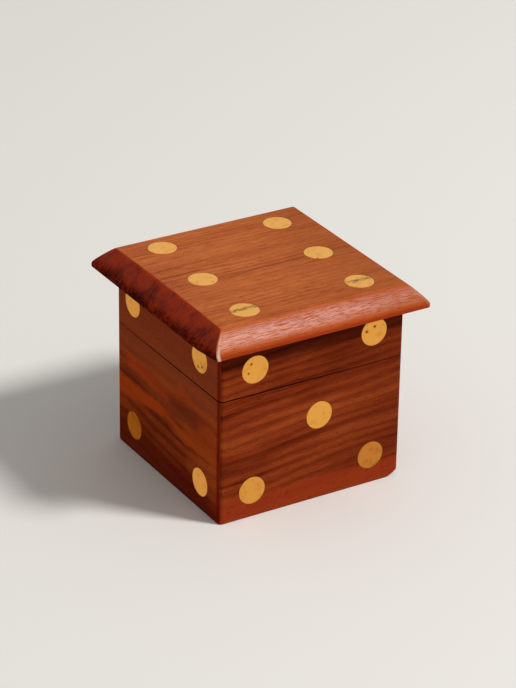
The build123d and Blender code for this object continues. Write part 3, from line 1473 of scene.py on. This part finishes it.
@dataclass(frozen=True)
class TopBoard:
    """The thick board that closes the lid, with its bevelled, overhanging edge."""

    planes: Planes
    nose: float = 0.7 * MM
    nose_corner: float = 0.5 * MM
    nose_edge: float = 0.3 * MM
    turn_in: float = 1.7 * MM
    belly_in: float = 2.5 * MM
    belly_up: float = 4.45 * MM
    shoulder_in: float = 5.5 * MM
    flat_in: float = 6.2 * MM
    knock_length: float = 9.5 * MM
    corner_steps: int = 5
    nose_steps: int = 3
    profile_rounds: int = 3
    crease: float = 40.0

    def profile(self) -> list[Vector]:
        """Draws the edge from the nose to the flat as (inset, height above the skirt).

        Returns:
            The points of the edge.
        """
        thickness = self.planes.lid_top - self.planes.skirt_top
        corners = [
            Vector((0, self.nose)),
            Vector((0, self.turn_in)),
            Vector((self.belly_in, self.belly_up)),
            Vector((self.shoulder_in, thickness)),
            Vector((self.flat_in, thickness)),
        ]
        return cut_corners(corners, self.profile_rounds)

    def build(self, finish: bpy.types.Material, pockets: list[Pocket]) -> None:
        """Makes, bores and dresses the board.

        Args:
            finish: Its wood.
            pockets: Every spot's place.
        """
        half = self.planes.half_lid
        bottom = self.planes.skirt_top
        low = Vector((-half, -half, bottom))
        high = Vector((half, half, bottom + self.nose))
        board = Workpiece.block("lid_top_board_wood", low, high)
        board.round_edges(is_upright, self.nose_corner, self.corner_steps)
        board.select(Element.FACES, lambda f: f.normal.z > 0.9)
        inset, height = self.profile()[0]
        for next_inset, next_height in self.profile()[1:]:
            narrower = (half - next_inset) / (half - inset)
            bpy.ops.mesh.extrude_region_move(
                TRANSFORM_OT_translate={"value": (0, 0, next_height - height)}
            )
            bpy.ops.transform.resize(value=(narrower, narrower, 1), center_override=(0, 0, 0))
            inset, height = next_inset, next_height
        clear_bench()
        board.round_edges(lies_at(UP, bottom), self.nose_edge, self.nose_steps)
        self.knock_corner(board)
        board.bore(p.cutter() for p in pockets if p.name.startswith("spot_top_"))
        board.smooth(self.crease)
        board.fit(finish, Shell.LID, "top_board_wood", "lid_top_board")

    def knock_corner(self, board: Workpiece) -> None:
        """Wears the left edge in towards the front corner, most at the nose.

        Args:
            board: The board, with its bevel drawn.
        """
        half = self.planes.half_lid
        bottom = self.planes.skirt_top
        board.bisect(Vector((0, self.knock_length - half, 0)), Vector((0, 1, 0)))
        levels = sorted({round(v.co.z, 7) for v in board.made.data.vertices})
        for level in levels:
            share = 1 - (level - bottom) / KNOCK_HEIGHT
            if share <= 0:
                break
            board.select(
                Element.VERTS,
                lambda v: abs(v.co.z - level) < HAIR
                and v.co.x < self.shoulder_in - half
                and v.co.y < self.shoulder_in - half,
            )
            bpy.ops.transform.translate(value=(KNOCK * share, 0, 0))
        clear_bench()


@dataclass(frozen=True)
class FloorPanel:
    """The panel between the base's boards."""

    edge: float = 0.15 * MM
    edge_steps: int = 2
    crease: float = 35.0

    def build(self, finish: bpy.types.Material, pockets: list[Pocket]) -> None:
        """Makes, bores and dresses the panel.

        Args:
            finish: Its wood.
            pockets: Every spot's place.
        """
        low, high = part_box("base_floor")
        panel = Workpiece.block("base_floor_wood", low, high)
        panel.round_edges(lambda e: True, self.edge, self.edge_steps)
        panel.bore(p.cutter() for p in pockets if p.name.startswith("spot_bottom_"))
        panel.smooth(self.crease)
        panel.fit(finish, Shell.BASE, "floor_wood", "base_floor")


# --- Brass -------------------------------------------------------------------------------------
@dataclass(frozen=True)
class Spots:
    """The brass spots, filed flush, and the glue round them."""

    pockets: list[Pocket]
    edge: float = 0.12 * MM
    edge_steps: int = 3
    crown: float = 0.04 * MM
    crown_rises: tuple[float, ...] = (0.6, 0.3, 0.1)
    crown_inset: float = 0.25
    crease: float = 40.0
    bead_crease: float = 60.0
    bead: float = 0.07 * MM
    bead_sides: int = 6
    bead_depth: float = 0.09 * MM
    # Darker brasses. On the left spots the worn and brown brasses are partly painted shade, darker
    # because those spots mirror shade; elsewhere they stand for tarnish and wear.
    aged: tuple[tuple[str, tuple[str, ...]], ...] = (
        ("brown_brass", ("spot_left_2", "spot_right_2")),
        ("dull_brass", ("spot_front_4", "spot_bottom_1", "spot_back_1")),
        ("worn_brass", ("spot_front_2", "spot_left_1", "spot_left_3", "spot_left_4")),
    )

    def metal(self, name: str) -> str:
        """Says which brass a spot is dressed in.

        Args:
            name: The spot's name.

        Returns:
            The brass's name.
        """
        for brass, names in self.aged:
            if name in names:
                return brass
        return "filed_top_brass" if name.startswith("spot_top_") else "filed_side_brass"

    def build(self, finishes: dict[str, bpy.types.Material], glue: bpy.types.Material) -> None:
        """Makes and dresses every spot, and one piece of glue for each shell.

        Args:
            finishes: The brasses by name.
            glue: The glue.
        """
        rings: dict[Shell, list[Workpiece]] = {shell: [] for shell in Shell}
        for pocket in self.pockets:
            slot = "top_spot_brass" if pocket.name.startswith("spot_top_") else "side_spot_brass"
            metal = finishes[self.metal(pocket.name)]
            self.spot(pocket).fit(metal, pocket.shell, slot, pocket.name)
            ring = Workpiece.shaped(
                "ring",
                bpy.ops.mesh.primitive_torus_add,
                location=pocket.centre - pocket.outward * self.bead_depth,
                rotation=facing(pocket.outward),
                major_radius=pocket.radius + pocket.glue / 2,
                minor_radius=self.bead,
                major_segments=ROUND,
                minor_segments=self.bead_sides,
            )
            rings[pocket.shell].append(ring)
        for shell, pieces in rings.items():
            first = pieces.pop()
            first.join(pieces)
            first.made.name = f"{shell.value}_spot_glue"
            first.smooth(self.bead_crease)
            first.fit(glue, shell, "side_spot_brass")

    def spot(self, pocket: Pocket) -> Workpiece:
        """Turns one spot with a soft edge and a face that rises slightly to its middle.

        Args:
            pocket: The spot's place.

        Returns:
            The spot.
        """
        middle = pocket.centre - pocket.outward * (pocket.depth + self.crown) / 2
        length = pocket.depth - self.crown
        name = f"{pocket.name}_brass"
        spot = Workpiece.rod(name, middle, pocket.outward, pocket.radius, length)
        face = middle.dot(pocket.outward) + length / 2
        spot.round_edges(lies_at(pocket.outward, face), self.edge, self.edge_steps)
        spot.select(Element.FACES, lambda f: f.normal.dot(pocket.outward) > 0.99)
        for share in self.crown_rises:
            inset = pocket.radius * self.crown_inset
            bpy.ops.mesh.inset(thickness=inset, depth=self.crown * share)
        spot.smooth(self.crease)
        return spot


@dataclass(frozen=True)
class Hinges:
    """The two brass butt hinges, whose leaves, pins and screws the frame already shapes."""

    def dress(self, leaf: bpy.types.Material, fixing: bpy.types.Material) -> None:
        """Gives every hinge piece its metal.

        Args:
            leaf: The leaves' brass.
            fixing: The pins' and screws' brass.
        """
        for name, node in frame["nodes"].items():
            if "_hinge_" not in name:
                continue
            metal = leaf if name.endswith("_leaf") else fixing
            node.data.materials.clear()
            node.data.materials.append(metal)
            log.info("%s: dressed", name)


# --- Studio ------------------------------------------------------------------------------------
@dataclass(frozen=True)
class Studio:
    """The pale floor, the soft lamp, the even sky and the camera."""

    azimuth: float = -31.46
    elevation: float = 26.83
    roll: float = 0.98
    distance: float = 13.44
    shift_across: float = 0.004
    shift_up: float = 0.0949
    lens: float = 146.5
    key_direction: Sizes = (0.466, -0.498, 0.722)
    key_distance: float = 2.4
    key_size: float = 0.5
    key_power: float = 47.0
    key_lift: float = 0.03
    floor_size: float = 6.0
    sensor: float = 36.0
    clip: float = 0.01
    sky_strength: float = 0.4
    backdrop: Colour = tint(232, 228, 222)
    floor_bounce: Colour = tint(176, 142, 116)

    def build(self, planes: Planes) -> None:
        """Sets up the floor, the lamp, the sky and the camera.

        Args:
            planes: The box's planes.
        """
        self.lay_floor()
        self.hang_lamp()
        self.set_sky()
        self.place_camera(planes)
        bpy.context.scene.view_settings.view_transform = "Standard"

    def lay_floor(self) -> None:
        """Lays the pale floor."""
        clear_bench()
        bpy.ops.mesh.primitive_plane_add(size=self.floor_size, location=(0, 0, 0))
        floor = bpy.context.active_object
        floor.name = "studio_floor"
        material, graph, shader = open_material("studio_floor")
        path = graph.signals("ShaderNodeLightPath")
        lit = graph.mix(path["Is Camera Ray"], self.floor_bounce, self.backdrop)
        graph.feed(shader["Base Color"], graph.mix(path["Is Glossy Ray"], lit, tint(0, 0, 0)))
        shader["Roughness"].default_value = 0.9
        shader["Specular IOR Level"].default_value = 0.1
        graph.feed(shader["Emission Color"], self.backdrop)
        graph.feed(shader["Emission Strength"], path["Is Glossy Ray"])
        floor.data.materials.append(material)

    def hang_lamp(self) -> None:
        """Hangs the key lamp."""
        toward = Vector(self.key_direction).normalized()
        lamp = bpy.data.lights.new("key", "AREA")
        lamp.shape = "DISK"
        lamp.size = self.key_size
        lamp.energy = self.key_power
        key = bpy.data.objects.new("key", lamp)
        key.location = toward * self.key_distance + UP * self.key_lift
        key.rotation_euler = facing(toward)
        bpy.context.scene.collection.objects.link(key)

    def set_sky(self) -> None:
        """Lights the scene evenly, with a pale backdrop for the camera and for the brass."""
        world = bpy.data.worlds.new("studio")
        world.use_nodes = True
        bpy.context.scene.world = world
        graph = Graph(world.node_tree)
        even = {"Color": (1, 1, 1, 1), "Strength": self.sky_strength}
        light = graph.result("ShaderNodeBackground", even)
        backdrop = graph.result("ShaderNodeBackground", {"Color": self.backdrop})
        path = graph.signals("ShaderNodeLightPath")
        seen = graph.larger(path["Is Camera Ray"], path["Is Glossy Ray"])
        sky = graph.result("ShaderNodeMixShader", {0: seen, 1: light, 2: backdrop})
        graph.add("ShaderNodeOutputWorld", {"Surface": sky})

    def place_camera(self, planes: Planes) -> None:
        """Places the camera by its angles and by its distance in body widths.

        Args:
            planes: The box's planes.
        """
        unit = 2 * planes.half_width
        angles = (self.azimuth, self.elevation, self.roll)
        azimuth, elevation, roll = (math.radians(angle) for angle in angles)
        back = Vector(
            (
                math.sin(azimuth) * math.cos(elevation),
                -math.cos(azimuth) * math.cos(elevation),
                math.sin(elevation),
            )
        )
        right = (-back).cross(UP).normalized()
        up = right.cross(-back)
        across = right * math.cos(roll) + up * math.sin(roll)
        upward = up * math.cos(roll) - right * math.sin(roll)
        off = back * self.distance + across * self.shift_across + upward * self.shift_up
        place = UP * (unit / 2) + off * unit
        camera = bpy.data.objects.new("camera", bpy.data.cameras.new("camera"))
        camera.data.lens = self.lens
        camera.data.sensor_width = self.sensor
        camera.data.clip_start = self.clip
        turn = Matrix((across, upward, back)).transposed().to_4x4()
        camera.matrix_world = Matrix.Translation(place) @ turn
        bpy.context.scene.collection.objects.link(camera)
        bpy.context.scene.camera = camera


# --- The box -----------------------------------------------------------------------------------
def woods() -> dict[str, Sheesham]:
    """Describes each board's wood.

    Returns:
        The woods by name.
    """
    front = FrontSheesham(
        "front_sheesham",
        dark=tint(82, 24, 8),
        middle=tint(132, 52, 22),
        light=tint(172, 82, 36),
        heart=(-1918, 20, -95),
        turn=(0, 4, 0),
        ring_width=3.0,
        streak_length=85,
        wander=1.5,
        streak_depth=0.8,
        ring_depth=0.2,
        line_depth=0.22,
    )
    left = LeftSheesham(
        "left_sheesham",
        dark=tint(112, 42, 16),
        middle=tint(164, 68, 26),
        light=tint(208, 98, 36),
        heart=(0, 55, 60),
        turn=(-2, 0, -90),
        ring_width=4.0,
        streak_length=45,
        wander=3.0,
        streak_depth=0.9,
        cloud_depth=0.5,
        line_depth=0.15,
        lacquer=0.039,
    )
    right = SideSheesham("right_sheesham", heart=(30, -70, 10), turn=(0, 0, -90), ring_width=4.2)
    back = SideSheesham("back_sheesham", heart=(60, 40, 84), ring_width=3.6)
    top = TopSheesham(
        "top_sheesham",
        dark=tint(118, 44, 22),
        middle=tint(176, 88, 38),
        light=tint(200, 114, 58),
        heart=(10, -85, 40),
        ring_width=2.2,
        streak_length=110,
        wander=1.4,
        streak_depth=0.5,
        ring_depth=0.08,
        line_depth=0.22,
        cloud_depth=0.5,
        fibre_depth=1.0,
        pore_depth=0.5,
        roughness=0.38,
        lacquer=0.312,
        peel=(3.0, 0.2, 0.2),
    )
    floor = Sheesham("floor_sheesham", heart=(-40, -30, -60), ring_width=4.0, lacquer=0.0)
    return {wood.name: wood for wood in (front, left, right, back, top, floor)}


def brasses() -> tuple[Brass, ...]:
    """Describes the brass of the spots and the hinges.

    Returns:
        The brasses.
    """
    left_pits = (Pit((-32.0, -19.0, 47.7), 0.5), Pit((-32.0, -21.3, 48.4), 0.5))
    front_pits = (
        Pit((-21.5, -32.0, 51.6), 0.45),
        Pit((-22.4, -32.0, 48.7), 0.45),
        Pit((21.4, -32.0, 53.5), 0.5),
        Pit((18.6, -32.0, 52.4), 0.55),
    )
    top_pits = (Pit((-18.1, -3.5, 65.6), 0.35), Pit((18.1, -4.6, 65.6), 0.4))
    return (
        Brass(
            "filed_top_brass",
            colour=tint(252, 194, 108),
            pit=tint(74, 42, 18),
            pits=top_pits,
            stain_row=-23.7,
        ),
        Brass("filed_side_brass", pits=front_pits),
        # Partly painted shade: duller brass for the left spots, which mirror shade.
        Brass("worn_brass", dullness=0.3, pits=left_pits),
        Brass("dull_brass", tarnish=tint(170, 86, 22), dullness=0.62),
        # Partly painted shade: the darkest brass, for a left spot that mirrors the box's shadow.
        Brass(
            "brown_brass",
            colour=tint(184, 104, 36),
            tarnish=tint(116, 54, 10),
            dullness=0.5,
            edge_tint=tint(255, 222, 180),
        ),
        Brass("rolled_brass", roughness=0.24),
        Brass("turned_brass", colour=tint(240, 184, 100), roughness=0.28),
    )


def main() -> None:
    """Builds and dresses the box, piece by piece, and sets the studio round it."""
    logging.basicConfig(level=logging.INFO, format="%(name)s: %(message)s")
    planes = Planes.measured()
    pockets = Pocket.all()
    finish = {name: wood.material(planes) for name, wood in woods().items()}
    sides = {side: finish[f"{side.label}_sheesham"] for side in Side}
    for shell in Shell:
        Carcass(planes, shell).build(sides, pockets)
    FloorPanel().build(finish["floor_sheesham"], pockets)
    TopBoard(planes).build(finish["top_sheesham"], pockets)
    metals = {brass.name: brass.material() for brass in brasses()}
    Spots(pockets).build(metals, Glue().material())
    Hinges().dress(metals["rolled_brass"], metals["turned_brass"])
    Studio().build(planes)
    clear_bench()


if __name__ == "__main__":
    main()
